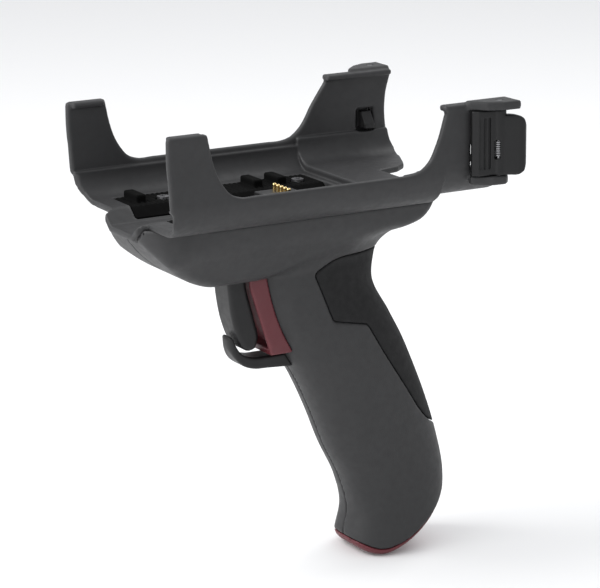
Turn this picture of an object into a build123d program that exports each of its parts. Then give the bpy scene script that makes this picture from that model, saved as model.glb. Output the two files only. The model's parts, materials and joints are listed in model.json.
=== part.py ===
"""Pistol-grip scan handle for a mobile computer: an open cradle on a trigger grip.

Millimetres. +Z up, -Y the way the scanner points. Pieces named right_ are on the +X side.
Origin: the middle of the palm's hold on the grip.
"""

import os

from build123d import *

os.makedirs("parts", exist_ok=True)

# ---- Driving dimensions -------------------------------------------------------------------

# Cradle: a U section pulled along Y, with an arm at each corner.
cradle_half_width = 41.2
cradle_wall = 2.6
corner_radius = 13.6
crease_z = 76.9            # underside of the U, where it meets the handle
shelf_z = 79.3             # long shelves beside the trough
shelf_inner_x = 14.2
inner_corner_radius = 8.0
trough_half_width = 8.4
trough_floor_z = 74.4
floor_thickness = 2.4
ledge_z = 87.6             # small step inside each side wall
ledge_step = 1.2
rail_top_z = 90.5
arm_top_z = 114.0
lip_height = 2.2           # hooks that turn in over the device
lip_width = 2.6
trough_end_y = -4.0
lift_y = 12.0              # behind this the cradle's underside is higher
keel_rear_y = 17.0
rear_floor_z = 82.0        # raised floor behind the trough, which the device rests on
notch_front_y = 15.2

# Handle: keel under the cradle and the grip below it.
handle_wall = 2.8
insert_depth = 1.4
keel_top_half_width = 27.8
keel_bottom_half_width = 14.2
keel_bottom_z = 52.4

# Trigger.
pivot_y, pivot_z = -54.0, 57.0
pivot_pin_radius = 1.5
running_clearance = 0.05
trigger_half_width = 6.6
trigger_slot_half_width = 7.4
trigger_slot_front_y = -62.0
trigger_slot_length = 18.8
tab_arm = 7.0              # from the pivot to the line of the switch plunger
tab_drop = 1.3             # top of the tab below the pivot

# Latches, drawn for the +X side and mirrored.
latch_pivot_x, latch_pivot_y = 44.6, 32.4
latch_pin_radius = 1.2
ear_top_z = 115.0
ear_bottom_z = 84.4
ear_thickness = 3.2
knuckle_radius = 2.6
nose_z = 95.0
nose_front_y, nose_rear_y = 25.2, 29.6
nose_reach = 2.4           # past the panel's inner face

# Fasteners.
screw_radius = 1.2
insert_radius = 2.0
insert_bore = 1.25
insert_length = 5.0
boss_radius = 3.3
head_radius = 2.3
head_height = 1.5

cradle_screws_at = [(-20.0, -70.0), (20.0, -70.0), (-20.0, -14.0), (20.0, -14.0)]
handle_screws_at = [(-76.0, 65.0, 14.6), (-19.0, 20.0, 11.0), (14.0, -34.0, 11.0)]
board_screws_at = [(4.2, -31.0), (4.2, -13.0)]

# Rubber strips sunk in the shelves; the device rests on their ribs.
strip_inner_x = 16.4
strip_outer_x = 29.2
strip_front_y = -86.0
strip_rear_y = -6.6
strip_sink = 0.9
strip_low_x = 9.67          # end of the strip on the trough's slope
strip_top_z = 79.0
rib_positions = [-80.0, -56.0, -32.0, -22.0]
rib_length = 4.0

# Electronics.
board_z = 63.8
board_thickness = 1.2
contact_y = -32.0
contact_size = (15.0, 15.0)
contact_top_z = 80.4
contact_flange_z = 68.8
pin_pitch = 2.6

# Grip sections: height, front Y, rear Y, half width.
grip_sections = [
    (70.0, -47.0, 8.0, 15.2),
    (57.0, -46.6, 4.4, 15.4),
    (46.0, -44.6, 3.2, 15.4),
    (32.0, -40.2, 10.6, 15.6),
    (22.0, -35.0, 16.0, 15.7),
    (12.0, -28.8, 20.4, 15.8),
    (-3.0, -21.6, 26.4, 15.6),
    (-18.0, -15.6, 31.3, 15.2),
    (-33.0, -8.4, 34.4, 15.0),
    (-45.0, -5.6, 34.2, 15.4),
    (-56.0, -8.0, 34.4, 16.0),
    (-70.0, -10.0, 34.4, 16.4),
]

# The grip's foot from the side: a short spur at the front, then the sole.
foot_profile = [
    (-10.4, -46.0),
    (-8.8, -54.0),
    (-3.4, -59.8),
    (2.4, -61.2),
    (9.9, -59.2),
    (24.7, -49.8),
    (33.0, -42.0),
]

created = {}


def finish(name, part):
    """Label a finished piece and write its STEP file."""
    part.label = name
    created[name] = part
    export_step(part, f"parts/{name}.step")


# ---- Cradle ---------------------------------------------------------------------------------


def u_section(under_lift, shelf_lift, trough_depth):
    """The cradle's U section: its underside and shelf raised, its middle sunk by trough_depth."""
    inner_x = cradle_half_width - cradle_wall
    low_x = inner_x - ledge_step
    under = crease_z + under_lift
    shelf = shelf_z + shelf_lift
    with BuildSketch() as section:
        with BuildLine():
            Polyline(
                (0, under - trough_depth),
                (trough_half_width + 0.9, under - trough_depth),
                (shelf_inner_x + 0.9, under),
                (cradle_half_width - corner_radius, under),
            )
            RadiusArc(
                (cradle_half_width - corner_radius, under),
                (cradle_half_width, under + corner_radius),
                -corner_radius,
            )
            Polyline(
                (cradle_half_width, under + corner_radius),
                (cradle_half_width, 120),
                (inner_x, 120),
                (inner_x, ledge_z + ledge_step + shelf_lift),
                (low_x, ledge_z + shelf_lift),
                (low_x, shelf + inner_corner_radius),
            )
            RadiusArc(
                (low_x, shelf + inner_corner_radius),
                (low_x - inner_corner_radius, shelf),
                inner_corner_radius,
            )
            Polyline(
                (low_x - inner_corner_radius, shelf),
                (shelf_inner_x, shelf),
                (trough_half_width, shelf - trough_depth),
                (0, shelf - trough_depth),
                (0, under - trough_depth),
            )
        make_face()
        mirror(about=Plane.YZ)
    return section.sketch


# Front edge of each rear panel, from the rail up.
right_panel_front = [(-3.0, rail_top_z), (1.4, 91.2), (5.4, 94.0), (9.0, 100.4), (12.6, 111.2)]
left_panel_front = [(-10.0, rail_top_z), (-5.6, 91.6), (-2.0, 94.4), (3.9, 103.4), (9.6, 111.4)]


def side_outline(panel_front):
    """The cradle from the side: two arms joined by a low rail, then the raised rear panel."""
    top_y = panel_front[-1][0]
    with BuildSketch(Plane.YZ) as outline:
        with BuildLine():
            Polyline((-97.3, 60.0), (-97.3, 88.8), (-97.8, 97.0), (-98.5, 106.0), (-98.4, 112.6))
            ThreePointArc((-98.4, 112.6), (-98.0, 113.6), (-97.0, arm_top_z))
            Line((-97.0, arm_top_z), (-84.4, arm_top_z))
            ThreePointArc((-84.4, arm_top_z), (-83.3, 113.6), (-82.9, 112.4))
            Spline(
                (-82.9, 112.4),
                (-81.6, 106.0),
                (-79.9, 100.4),
                (-77.2, 95.4),
                (-74.4, 92.2),
                (-70.0, rail_top_z),
            )
            Line((-70.0, rail_top_z), panel_front[0])
            Spline(*panel_front)
            Polyline(panel_front[-1], (top_y - 0.7, 112.6), (top_y - 0.4, arm_top_z), (37.4, arm_top_z))
            Line((37.4, arm_top_z), (38.6, 112.8))
            Spline((38.6, 112.8), (36.2, 104.0), (35.8, 97.0), (37.0, 87.0), (38.4, 80.0))
            Polyline((38.4, 80.0), (38.4, 60.0), (-97.3, 60.0))
        make_face()
    return outline.sketch


with BuildPart() as cradle_outline:
    extrude(side_outline(right_panel_front), amount=60)
    extrude(side_outline(left_panel_front), amount=-60)

# The rear edge of the floor in plan, on the +X side: a notch, then a pointed tip, then the wall.
floor_rear_edge = [
    (8.5, notch_front_y),
    (10.7, 24.3),
    (14.6, 29.2),
    (17.6, 30.9),
    (27.9, 35.8),
    (34.5, 37.4),
    (34.5, 60.0),
]

# The front edge of the floor in plan, on the +X side.
floor_front_edge = [
    (12.5, -97.2),
    (14.5, -93.4),
    (28.0, -93.2),
    (35.0, -94.2),
    (39.0, -96.0),
    (60.0, -98.0),
    (60.0, -120.0),
]

# The bed under a rubber strip: across the shelf, then down the trough's slope.
strip_bed = [(strip_outer_x, shelf_z - strip_sink), (14.53, shelf_z - strip_sink), (10.18, 74.72)]

with BuildPart() as device_cradle:
    with BuildSketch(Plane.XZ.offset(-trough_end_y)):
        add(u_section(0, 0, shelf_z - trough_floor_z))
    extrude(amount=100)
    with BuildSketch(Plane.XZ.offset(-trough_end_y)):
        add(u_section(0, rear_floor_z - shelf_z, 0))
    extrude(amount=trough_end_y - lift_y)
    with BuildSketch(Plane.XZ.offset(-lift_y)):
        add(u_section(rear_floor_z - shelf_z, rear_floor_z - shelf_z, 0))
    extrude(amount=-60)
    add(cradle_outline.part, mode=Mode.INTERSECT)
    # The floor stays thick over the end of the keel.
    with Locations((0, lift_y, crease_z)):
        Box(
            2 * (keel_top_half_width - 0.6),
            keel_rear_y - lift_y,
            rear_floor_z - crease_z - 1,
            align=(Align.CENTER, Align.MIN, Align.MIN),
        )
    # End wall that closes the trough at the rear.
    with BuildSketch(Plane.XZ.offset(-trough_end_y)):
        Polygon(
            (-shelf_inner_x - 0.9, crease_z),
            (-trough_half_width - 0.9, trough_floor_z - floor_thickness),
            (trough_half_width + 0.9, trough_floor_z - floor_thickness),
            (shelf_inner_x + 0.9, crease_z),
            (shelf_inner_x, rear_floor_z),
            (-shelf_inner_x, rear_floor_z),
            align=None,
        )
    extrude(amount=floor_thickness)
    # Shallow pockets for the rubber strips, on the shelves and down the trough's slopes.
    for side in (-1, 1):
        with BuildSketch(Plane.XZ.offset(-strip_rear_y)):
            with BuildLine():
                pocket = strip_bed + [(9.2, 75.9), (13.6, 80.0), (strip_outer_x, 80.0)]
                Polyline(*[(side * x, z) for x, z in pocket], close=True)
            make_face()
        extrude(amount=strip_rear_y - strip_front_y, mode=Mode.SUBTRACT)
    # Rear edge of the floor: the notch, and the edges that lean back from the tips.
    with BuildSketch(Plane.XY.offset(70)):
        with BuildLine():
            Polyline(*floor_rear_edge, *[(-x, y) for x, y in reversed(floor_rear_edge)], close=True)
        make_face()
    extrude(amount=15, mode=Mode.SUBTRACT)
    # Front edge of the floor, set back from the arms and the trough.
    with BuildSketch(Plane.XY.offset(60)):
        with BuildLine():
            Polyline(*floor_front_edge, *[(-x, y) for x, y in reversed(floor_front_edge)], close=True)
        make_face()
    extrude(amount=28, mode=Mode.SUBTRACT)
    # Lips that turn in over the device at the tops of the rear panels and the front arms.
    for side in (-1, 1):
        panel_front = right_panel_front if side > 0 else left_panel_front
        for lip_front_y, lip_rear_y in ((-97.0, -84.4), (panel_front[-1][0] - 0.4, 37.4)):
            with Locations((side * (cradle_half_width - cradle_wall - 0.9), lip_front_y, arm_top_z)):
                Box(
                    lip_width,
                    lip_rear_y - lip_front_y,
                    lip_height,
                    align=(Align.CENTER, Align.MIN, Align.MAX),
                )
    # Ears that carry the latch pins, and the windows for the latch noses.
    ear_root_x = cradle_half_width - cradle_wall
    top_ear = [(41.8, 21.0), (46.8, 26.0), (49.2, 31.0), (49.6, 38.4), (ear_root_x, 38.0), (ear_root_x, 21.0)]
    low_ear = [(41.8, 22.5), (46.8, 28.6), (47.2, 34.0), (45.4, 36.0), (ear_root_x, 36.4), (ear_root_x, 22.5)]
    for side in (-1, 1):
        for ear, z_low in ((low_ear, ear_bottom_z), (top_ear, ear_top_z - ear_thickness)):
            with BuildSketch(Plane.XY.offset(z_low)):
                with BuildLine():
                    Polyline(*[(side * x, y) for x, y in ear], close=True)
                make_face()
            extrude(amount=ear_thickness)
        with Locations((side * cradle_half_width, nose_front_y - 2.5, nose_z)):
            Box(
                7,
                nose_rear_y - nose_front_y + 3.3,
                9.2,
                align=(Align.CENTER, Align.MIN, Align.CENTER),
                mode=Mode.SUBTRACT,
            )
        with Locations((side * latch_pivot_x, latch_pivot_y, 100)):
            Cylinder(latch_pin_radius, 40, mode=Mode.SUBTRACT)
    # Opening for the contact block and the clearance holes of the cradle screws.
    with Locations((0, contact_y, trough_floor_z)):
        Box(contact_size[0], contact_size[1], 12, mode=Mode.SUBTRACT)
    with Locations(*[(x, y, crease_z) for x, y in cradle_screws_at]):
        Cylinder(screw_radius + 0.2, 12, mode=Mode.SUBTRACT)
finish("device_cradle", device_cradle.part)


# ---- Handle: keel and grip ------------------------------------------------------------------

# Outline of the keel's flank from the side, front to rear.
keel_outline = [
    (-101.2, 82.0),
    (-98.4, 77.4),
    (-94.4, 70.8),
    (-87.4, 62.8),
    (-75.0, 54.6),
    (-69.0, keel_bottom_z),
    (-46.0, keel_bottom_z),
    (-30.0, 58.0),
    (-18.0, 62.4),
    (-8.0, 65.4),
    (-3.0, 66.4),
    (8.4, 67.6),
    (13.2, 69.8),
    (16.0, 73.2),
    (17.6, 77.4),
    (18.6, 82.0),
]


def keel_body(shrink):
    """The boat-shaped keel, brought in all round by shrink but left open at the top."""
    low = keel_bottom_z - 3 + shrink
    low_half_width = keel_bottom_half_width - shrink
    top_half_width = keel_top_half_width - shrink
    with BuildPart() as body:
        with BuildSketch(Plane.YZ):
            with BuildLine():
                Polyline(*keel_outline, close=True)
            make_face()
            if shrink:
                offset(amount=-shrink, kind=Kind.INTERSECTION)
            else:
                fillet(vertices().sort_by(Axis.X)[1:-1], 1.6)
        extrude(amount=40, both=True)
        # Cross section: the flanks flare upwards.
        with BuildSketch(Plane.XZ.offset(120)):
            with BuildLine():
                Line((0, low), (low_half_width, low))
                Spline(
                    (low_half_width, low),
                    (low_half_width + 6.4, keel_bottom_z + 9.5),
                    (low_half_width + 11.4, keel_bottom_z + 16.5),
                    (top_half_width, crease_z),
                )
                Polyline((top_half_width, crease_z), (top_half_width, 85), (0, 85), (0, low))
            make_face()
            mirror(about=Plane.YZ)
        extrude(amount=-160, mode=Mode.INTERSECT)
        # Plan outline: the nose narrows towards the front.
        nose_y = -99 + shrink
        flank_x = 34 - shrink
        with BuildSketch(Plane.XY.offset(40)):
            with BuildLine():
                Spline(
                    (-flank_x, -50),
                    (-flank_x + 9, -84),
                    (-11, nose_y),
                    tangents=[(0, -1), (1, -0.8)],
                )
                Line((-11, nose_y), (11, nose_y))
                Spline(
                    (11, nose_y),
                    (flank_x - 9, -84),
                    (flank_x, -50),
                    tangents=[(1, 0.8), (0, 1)],
                )
                Polyline((flank_x, -50), (flank_x, 30), (-flank_x, 30), (-flank_x, -50))
            make_face()
        extrude(amount=50, mode=Mode.INTERSECT)
        split(bisect_by=Plane.XY.offset(crease_z), keep=Keep.BOTTOM)
    return body.part


def grip_body(shrink):
    """The grip lofted through its level sections, brought in all round by shrink."""
    with BuildPart() as body:
        for z, y_front, y_rear, half_width in grip_sections:
            depth = y_rear - y_front - 2 * shrink
            width = 2 * (half_width - shrink)
            with BuildSketch(Plane.XY.offset(z)):
                with Locations((0, (y_front + y_rear) / 2)):
                    RectangleRounded(width, depth, 0.47 * min(width, depth))
        loft()
    return body.part


with BuildPart() as grip_side_view:
    # Everything above the foot.
    with BuildSketch(Plane.YZ):
        with BuildLine():
            Polyline((-60, 75), (-60, -40), foot_profile[0])
            Spline(*foot_profile)
            Polyline(foot_profile[-1], (60, -12), (60, 75), (-60, 75))
        make_face()
    extrude(amount=40, both=True)

keel_outer = keel_body(0)
keel_inner = keel_body(handle_wall)
grip_outer = grip_body(0) & grip_side_view.part
grip_middle = grip_body(insert_depth)
grip_inner = grip_body(handle_wall)

with BuildPart() as palm_region:
    # Where the rubber insert shows: the palm's web at the top, running down the back.
    with BuildSketch(Plane.YZ):
        with BuildLine():
            Polyline((-27.0, 53.0), (-19.6, 57.4), (14, 57.4), (40, 30), (50, -10), (40, -20))
            Spline((40, -20), (23.0, -10.6), (10.7, 6.0), (-4.0, 29.2))
            Polyline((-4.0, 29.2), (-19.4, 32.9), (-27.0, 53.0))
        make_face()
        fillet(vertices().sort_by(Axis.X)[:2], 2.0)
    extrude(amount=30, both=True)

with BuildPart() as sole_region:
    # Everything below the red cap's upper edge.
    with BuildSketch(Plane.YZ):
        with BuildLine():
            Spline((-16, -50.6), (-6.8, -55.4), (2.0, -58.8), (9.9, -57.2), (24.7, -48.4), (42, -32.0))
            Polyline((42, -32.0), (42, -80), (-16, -80), (-16, -50.6))
        make_face()
    extrude(amount=30, both=True)

with BuildPart() as trough_space:
    # What the cradle's trough takes up at the top of the handle.
    with BuildSketch(Plane.XZ.offset(-trough_end_y)):
        Polygon(
            (-shelf_inner_x - 0.9, crease_z),
            (-trough_half_width - 0.9, trough_floor_z - floor_thickness),
            (trough_half_width + 0.9, trough_floor_z - floor_thickness),
            (shelf_inner_x + 0.9, crease_z),
            align=None,
        )
    extrude(amount=100)

palm_zone = (grip_outer & palm_region.part) - grip_middle - keel_outer


# ---- Handle shells --------------------------------------------------------------------------


def handle_bosses(side):
    """Screw bosses, pin bosses and board posts of one handle shell."""
    top = trough_floor_z - floor_thickness
    with BuildPart() as bosses:
        for y, z, seat in handle_screws_at:
            with BuildSketch(Plane.YZ):
                with Locations((y, z)):
                    Circle(boss_radius)
            extrude(amount=side * 24)
        with BuildSketch(Plane.YZ.offset(side * (trigger_slot_half_width + 0.2))):
            with Locations((pivot_y, pivot_z)):
                Circle(pivot_pin_radius + 2)
        extrude(amount=side * 8)
        for x, y in cradle_screws_at:
            if x * side > 0:
                with Locations((x, y, crease_z)):
                    Cylinder(boss_radius, 9, align=(Align.CENTER, Align.CENTER, Align.MAX))
                with Locations((x + side * 3, y, crease_z)):
                    Box(6, 2.2, 9, align=(Align.CENTER, Align.CENTER, Align.MAX))
        if side > 0:
            for x, y in board_screws_at:
                with Locations((x, y, board_z)):
                    Cylinder(2.4, 6, align=(Align.CENTER, Align.CENTER, Align.MAX))
                with Locations((x, y, board_z - 1)):
                    Box(20, 2.2, 5, align=(Align.MIN, Align.CENTER, Align.MAX))
    return bosses.part


def handle_shell(side):
    """One half of the handle: a wall that follows keel and grip, with its bosses inside."""
    with BuildPart() as shell:
        add(keel_outer)
        add(grip_outer)
        add(keel_inner, mode=Mode.SUBTRACT)
        add(grip_inner, mode=Mode.SUBTRACT)
        add(handle_bosses(side) & (keel_outer + grip_outer))
        add(trough_space.part, mode=Mode.SUBTRACT)
        add(palm_zone, mode=Mode.SUBTRACT)
        add(sole_region.part, mode=Mode.SUBTRACT)
        # Slot in the keel's floor for the trigger.
        with Locations((0, trigger_slot_front_y, keel_bottom_z)):
            Box(
                2 * trigger_slot_half_width,
                trigger_slot_length,
                8,
                align=(Align.CENTER, Align.MIN, Align.CENTER),
                mode=Mode.SUBTRACT,
            )
        # Bore that holds the trigger's pin.
        with BuildSketch(Plane.YZ.offset(-11)):
            with Locations((pivot_y, pivot_z)):
                Circle(pivot_pin_radius)
        extrude(amount=22, mode=Mode.SUBTRACT)
        # Bores for the cradle's threaded inserts.
        with Locations(*[(x, y, crease_z) for x, y in cradle_screws_at]):
            Cylinder(insert_radius, 6, align=(Align.CENTER, Align.CENTER, Align.MAX), mode=Mode.SUBTRACT)
        if side > 0:
            with Locations(*[(x, y, board_z) for x, y in board_screws_at]):
                Cylinder(0.8, 5, align=(Align.CENTER, Align.CENTER, Align.MAX), mode=Mode.SUBTRACT)
        for y, z, seat in handle_screws_at:
            with BuildSketch(Plane.YZ):
                with Locations((y, z)):
                    Circle(insert_radius if side > 0 else screw_radius + 0.2)
            extrude(amount=insert_length + 0.6 if side > 0 else -30, mode=Mode.SUBTRACT)
            if side < 0:
                with BuildSketch(Plane.YZ.offset(-seat)):
                    with Locations((y, z)):
                        Circle(head_radius + 0.3)
                extrude(amount=-20, mode=Mode.SUBTRACT)
        split(bisect_by=Plane.YZ, keep=Keep.TOP if side > 0 else Keep.BOTTOM)
    return shell.part


for side, name in ((1, "right_handle_shell"), (-1, "left_handle_shell")):
    finish(name, handle_shell(side))

finish("palm_insert", palm_zone)

with BuildPart() as base_cap:
    # Red foot of the grip.
    add(grip_outer)
    add(sole_region.part, mode=Mode.INTERSECT)
finish("base_cap", base_cap.part)


# ---- Trigger, its red surround and guard ----------------------------------------------------

bezel_half_width = 9.0
bezel_inner_half_width = 7.4
guard_half_width = 4.8

with BuildPart() as trigger_bezel:
    # Red surround on the grip's front: a rim on each side of the trigger and a sunk face behind it.
    with BuildSketch(Plane.YZ):
        with BuildLine():
            Polyline((-50.3, keel_bottom_z), (-50.1, 48.4), (-43.5, 27.6), (-41.8, 22.4))
            Polyline((-41.8, 22.4), (-24.0, 22.4), (-30.0, keel_bottom_z), (-50.3, keel_bottom_z))
        make_face()
    extrude(amount=bezel_half_width, both=True)
    with BuildSketch(Plane.YZ):
        with BuildLine():
            Polyline((-46.4, 60), (-46.0, 48), (-42.0, 34), (-38.9, 26), (-60, 18), (-60, 60), close=True)
        make_face()
    extrude(amount=bezel_inner_half_width, both=True, mode=Mode.SUBTRACT)
    add(grip_outer, mode=Mode.SUBTRACT)

with BuildPart() as trigger_guard:
    # J-shaped guard: forward from the grip and up in front of the trigger's tip.
    with BuildSketch(Plane.YZ):
        with BuildLine():
            Line((-24.0, 22.4), (-41.0, 21.2))
            Spline((-41.0, 21.2), (-48.0, 21.7), (-51.6, 23.4), (-53.5, 26.0), (-54.6, 29.2))
            ThreePointArc((-54.6, 29.2), (-55.8, 30.1), (-56.8, 29.0))
            Spline((-56.8, 29.0), (-55.9, 25.2), (-54.0, 21.6), (-51.2, 18.8), (-47.0, 17.1), (-41.0, 16.6))
            Polyline((-41.0, 16.6), (-24.0, 15.4), (-24.0, 22.4))
        make_face()
    extrude(amount=guard_half_width, both=True)
    # The front is round in plan.
    with BuildSketch(Plane.XY.offset(10)):
        with BuildLine():
            ThreePointArc((-guard_half_width, -52.0), (0, -56.9), (guard_half_width, -52.0))
            Polyline((guard_half_width, -52.0), (guard_half_width, -20), (-guard_half_width, -20))
            Line((-guard_half_width, -20), (-guard_half_width, -52.0))
        make_face()
    extrude(amount=30, mode=Mode.INTERSECT)
    add(grip_outer, mode=Mode.SUBTRACT)
    add(trigger_bezel.part, mode=Mode.SUBTRACT)

with BuildPart() as trigger_blade:
    with BuildSketch(Plane.YZ):
        with BuildLine():
            Spline((-57.9, 55.0), (-57.4, 46.6), (-55.6, 35.4), (-53.7, 29.6), (-52.2, 26.4))
            ThreePointArc((-52.2, 26.4), (-50.2, 24.6), (-47.4, 24.4))
            Spline((-47.4, 24.4), (-45.4, 27.0), (-46.9, 36.2), (-50.2, 49.0), (-50.6, 55.0))
            Line((-50.6, 55.0), (-57.9, 55.0))
        make_face()
    extrude(amount=trigger_half_width, both=True)
    fillet(edges().filter_by(GeomType.BSPLINE), 1.2)
    with BuildSketch(Plane.YZ):
        with Locations((pivot_y, pivot_z)):
            Circle(3.6)
    extrude(amount=trigger_half_width, both=True)
    # Tab that lifts the switch's plunger.
    with Locations((0, pivot_y + 8.4, pivot_z - tab_drop)):
        Box(5, 7, 1.8, align=(Align.CENTER, Align.MAX, Align.MAX))
    # Gap in the knuckle for the spring.
    with Locations((-5.0, pivot_y, pivot_z + 2.6)):
        Box(3.8, 10.0, 11.6, mode=Mode.SUBTRACT)
    # Bore that turns on the pin.
    with BuildSketch(Plane.YZ.offset(-trigger_half_width - 1)):
        with Locations((pivot_y, pivot_z)):
            Circle(pivot_pin_radius + running_clearance)
    extrude(amount=2 * trigger_half_width + 2, mode=Mode.SUBTRACT)

with BuildPart() as trigger_pivot_pin:
    with BuildSketch(Plane.YZ.offset(-10.8)):
        with Locations((pivot_y, pivot_z)):
            Circle(pivot_pin_radius)
    extrude(amount=21.6)

with BuildPart() as trigger_return_spring:
    # Torsion spring round the pin, in the knuckle's gap.
    with BuildLine() as coil:
        Helix(pitch=0.8, height=2.8, radius=2.4, center=(-6.4, pivot_y, pivot_z), direction=(1, 0, 0))
    with BuildSketch(Plane(coil.line @ 0, z_dir=coil.line % 0)):
        Circle(0.32)
    sweep(path=coil.line, is_frenet=True)

# ---- Switch, board and wiring ---------------------------------------------------------------

switch_size = (5.8, 10.2, 6.4)
plunger_y = pivot_y + tab_arm

with BuildPart() as switch_body:
    with Locations((0, -44.4, board_z)):
        Box(*switch_size, align=(Align.CENTER, Align.CENTER, Align.MAX))
    with Locations((0, plunger_y, board_z - switch_size[2])):
        Box(2.6, 1.8, 7, mode=Mode.SUBTRACT)
    with Locations(*[(x, -40.6, board_z) for x in (-1.8, 0, 1.8)]):
        Box(0.6, 0.8, 2.2, align=(Align.CENTER, Align.CENTER, Align.MIN))

with BuildPart() as switch_plunger:
    with Locations((0, plunger_y, pivot_z - tab_drop + 0.4)):
        Box(2.4, 1.6, 3.2, align=(Align.CENTER, Align.CENTER, Align.MIN))
    fillet(edges().group_by(Axis.Z)[0].filter_by(Axis.X), 0.6)

with BuildPart() as switch_board:
    with Locations((0, -29.6, board_z)):
        Box(13.0, 41.2, board_thickness, align=(Align.CENTER, Align.CENTER, Align.MIN))
    with Locations(*[(x, y, board_z) for x, y in board_screws_at]):
        Cylinder(1.0, 4, mode=Mode.SUBTRACT)
    with Locations(*[(x, -40.6, board_z) for x in (-1.8, 0, 1.8)]):
        Box(0.9, 1.1, 4, mode=Mode.SUBTRACT)

with BuildPart() as board_connector:
    with Locations((0, -20.0, board_z + board_thickness)):
        Box(7.6, 5.2, 3.8, align=(Align.CENTER, Align.CENTER, Align.MIN))

with BuildPart() as board_screws:
    for x, y in board_screws_at:
        with Locations((x, y, board_z + board_thickness)):
            Cylinder(1.7, 1.1, align=(Align.CENTER, Align.CENTER, Align.MIN))
            Cylinder(0.78, 4.6, align=(Align.CENTER, Align.CENTER, Align.MAX))

with BuildPart() as contact_block:
    with Locations((0, contact_y, contact_flange_z)):
        Box(
            contact_size[0] - 0.3,
            contact_size[1] - 0.3,
            contact_top_z - contact_flange_z,
            align=(Align.CENTER, Align.CENTER, Align.MIN),
        )
    fillet(edges().group_by(Axis.Z)[-1], 0.6)
    with Locations((0, contact_y, contact_flange_z)):
        Box(
            18.0,
            18.6,
            trough_floor_z - floor_thickness - contact_flange_z,
            align=(Align.CENTER, Align.CENTER, Align.MIN),
        )
    with GridLocations(pin_pitch, 0, 5, 1):
        with Locations((0, contact_y, contact_top_z)):
            Cylinder(0.85, 7.0, align=(Align.CENTER, Align.CENTER, Align.MAX), mode=Mode.SUBTRACT)

with BuildPart() as contact_pins:
    with GridLocations(pin_pitch, 0, 5, 1):
        with Locations((0, contact_y, contact_top_z - 5.4)):
            Cylinder(0.8, 8.0, align=(Align.CENTER, Align.CENTER, Align.MIN))
    fillet(edges().group_by(Axis.Z)[-1], 0.5)

with BuildPart() as contact_seal:
    with Locations((0, contact_y, trough_floor_z)):
        Box(16.4, contact_size[1] + 4, 0.8, align=(Align.CENTER, Align.CENTER, Align.MIN))
        Box(*contact_size, 0.8, align=(Align.CENTER, Align.CENTER, Align.MIN), mode=Mode.SUBTRACT)

with BuildPart() as wire_harness:
    # Four leads in one sleeve, from the contact block down and back to the board.
    with BuildLine() as route:
        FilletPolyline((0, -30.0, contact_flange_z), (0, -30.0, 66.4), (0, -22.6, 66.4), radius=2.0)
    with BuildSketch(Plane(route.line @ 0, z_dir=route.line % 0)):
        Circle(0.95)
    sweep(path=route.line)

for piece, name in (
    (trigger_bezel, "trigger_bezel"),
    (trigger_guard, "trigger_guard"),
    (trigger_blade, "trigger_blade"),
    (trigger_pivot_pin, "trigger_pivot_pin"),
    (trigger_return_spring, "trigger_return_spring"),
    (switch_body, "switch_body"),
    (switch_plunger, "switch_plunger"),
    (switch_board, "switch_board"),
    (board_connector, "board_connector"),
    (board_screws, "board_screws"),
    (contact_block, "contact_block"),
    (contact_pins, "contact_pins"),
    (contact_seal, "contact_seal"),
    (wire_harness, "wire_harness"),
):
    finish(name, piece.part)

# ---- Rubber strips, fasteners ---------------------------------------------------------------

for side, name in ((1, "right_seat_strip"), (-1, "left_seat_strip")):
    with BuildPart() as strip:
        with BuildSketch(Plane.XZ.offset(-strip_rear_y)):
            with BuildLine():
                top = [(strip_low_x, 75.33), (14.0, strip_top_z), (strip_outer_x, strip_top_z)]
                Polyline(*[(side * x, z) for x, z in strip_bed + top], close=True)
            make_face()
        extrude(amount=strip_rear_y - strip_front_y)
        width = strip_outer_x - strip_inner_x
        with Locations(*[(side * (strip_inner_x + width / 2), y, strip_top_z) for y in rib_positions]):
            rib_height = rear_floor_z - strip_top_z
            Box(width - 2, rib_length, rib_height, align=(Align.CENTER, Align.CENTER, Align.MIN))
        with Locations(*[(x, y, strip_top_z) for x, y in cradle_screws_at if x * side > 0]):
            Cylinder(head_radius + 0.3, 8, mode=Mode.SUBTRACT)
    finish(name, strip.part)

with BuildPart() as cradle_screws:
    for x, y in cradle_screws_at:
        with Locations((x, y, shelf_z - strip_sink)):
            Cylinder(head_radius, head_height, align=(Align.CENTER, Align.CENTER, Align.MIN))
            Cylinder(screw_radius, 7.0, align=(Align.CENTER, Align.CENTER, Align.MAX))
            with Locations((0, 0, head_height)):
                Box(2.6, 0.6, 1.0, mode=Mode.SUBTRACT)
                Box(0.6, 2.6, 1.0, mode=Mode.SUBTRACT)
finish("cradle_screws", cradle_screws.part)

with BuildPart() as cradle_inserts:
    for x, y in cradle_screws_at:
        with Locations((x, y, crease_z)):
            Cylinder(insert_radius, insert_length, align=(Align.CENTER, Align.CENTER, Align.MAX))
            Cylinder(
                insert_bore,
                insert_length,
                align=(Align.CENTER, Align.CENTER, Align.MAX),
                mode=Mode.SUBTRACT,
            )
finish("cradle_inserts", cradle_inserts.part)

with BuildPart() as handle_screws:
    for y, z, seat in handle_screws_at:
        with BuildSketch(Plane.YZ.offset(-seat)):
            with Locations((y, z)):
                Circle(head_radius)
        extrude(amount=-head_height)
        with BuildSketch(Plane.YZ.offset(-seat - 0.1)):
            with Locations((y, z)):
                Circle(screw_radius)
        extrude(amount=seat + insert_length)
        with BuildSketch(Plane.YZ.offset(-seat - head_height + 0.8)):
            with Locations((y, z)):
                RegularPolygon(1.1, 6)
        extrude(amount=-2, mode=Mode.SUBTRACT)
finish("handle_screws", handle_screws.part)

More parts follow.
